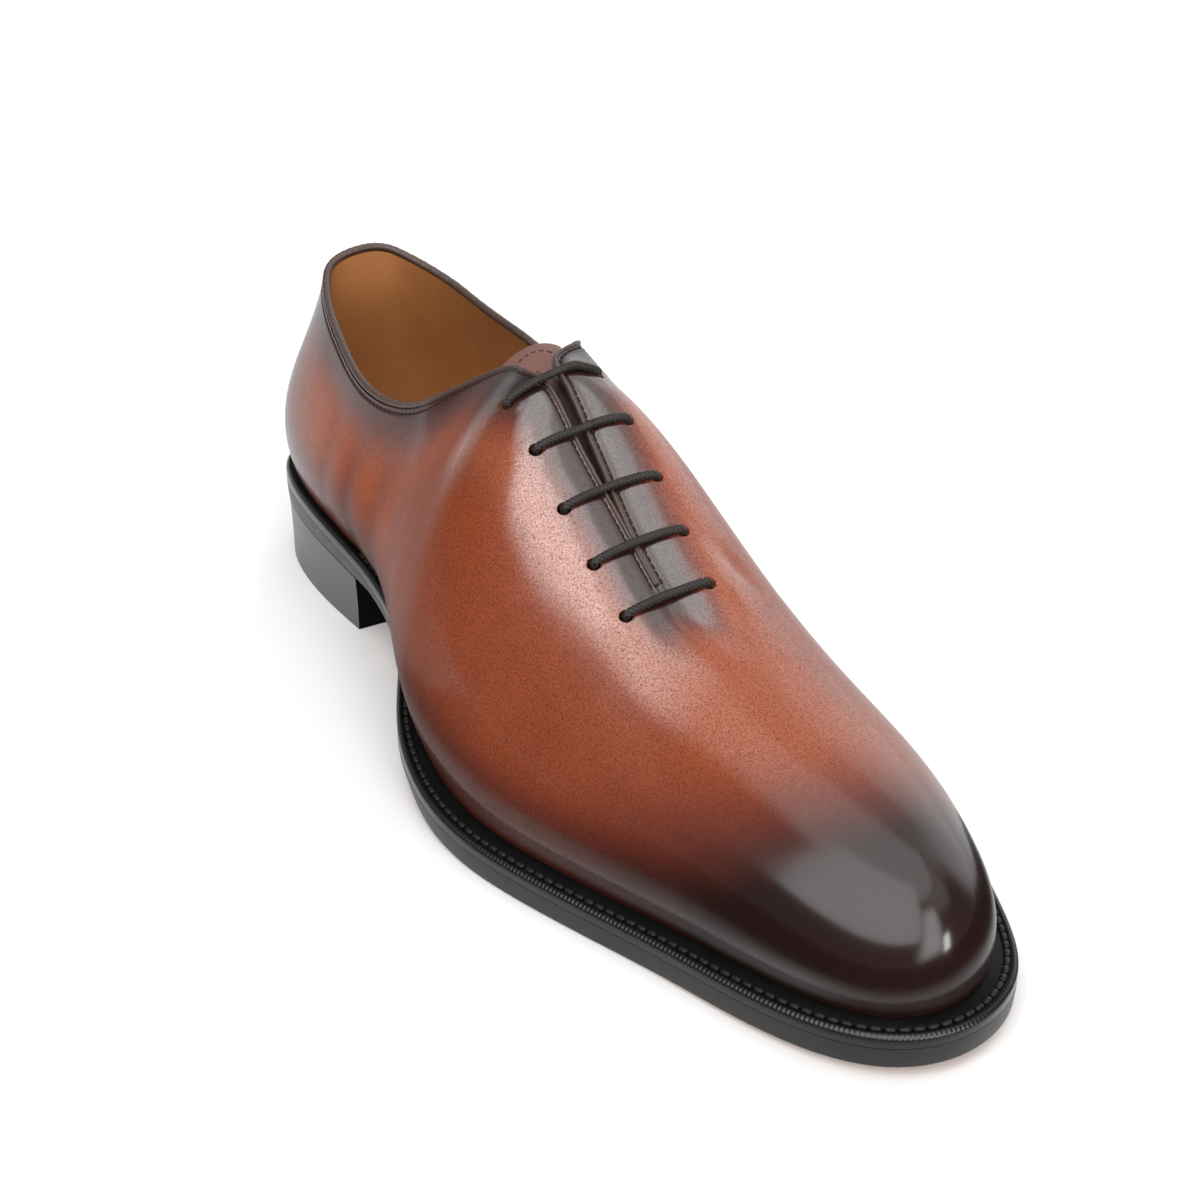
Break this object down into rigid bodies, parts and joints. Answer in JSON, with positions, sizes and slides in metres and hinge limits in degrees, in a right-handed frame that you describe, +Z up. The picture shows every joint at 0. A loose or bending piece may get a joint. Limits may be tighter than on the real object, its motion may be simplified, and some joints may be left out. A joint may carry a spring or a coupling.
{
  "type": "plain-toe oxford shoe",
  "caption": "Right wholecut oxford dress shoe in antiqued tan-brown calf with straight-bar lacing, welted leather sole and stacked heel.",
  "frame": {"origin": "on the floor, under the middle of the shoe's box", "axes": "+X from heel to toe, +Y to the inner (medial) side of the foot, +Z up"},
  "size_m": [0.305, 0.1074, 0.1032],
  "materials": {
    "calf_upper": "antiqued, satin gloss, burnished dark at toe, heel and facings",
    "binding_calf": "satin rolled edge",
    "tongue_calf": "matt, dusty",
    "insole_leather": "smooth lining leather",
    "welt_leather": "black edge dressing, wheeled",
    "sole_leather": "black dressed edge, natural tan bottom",
    "heel_stack": "black edge dressing",
    "waxed_cord": "waxed round braid"
  },
  "bodies": {
    "root": {"upper": "calf_upper", "collar_binding": "binding_calf", "tongue": "tongue_calf", "insole": "insole_leather", "welt": "welt_leather", "heel_rand": "welt_leather", "outsole": "sole_leather", "heel": "heel_stack", "lace": "waxed_cord"}
  },
  "joints": []
}
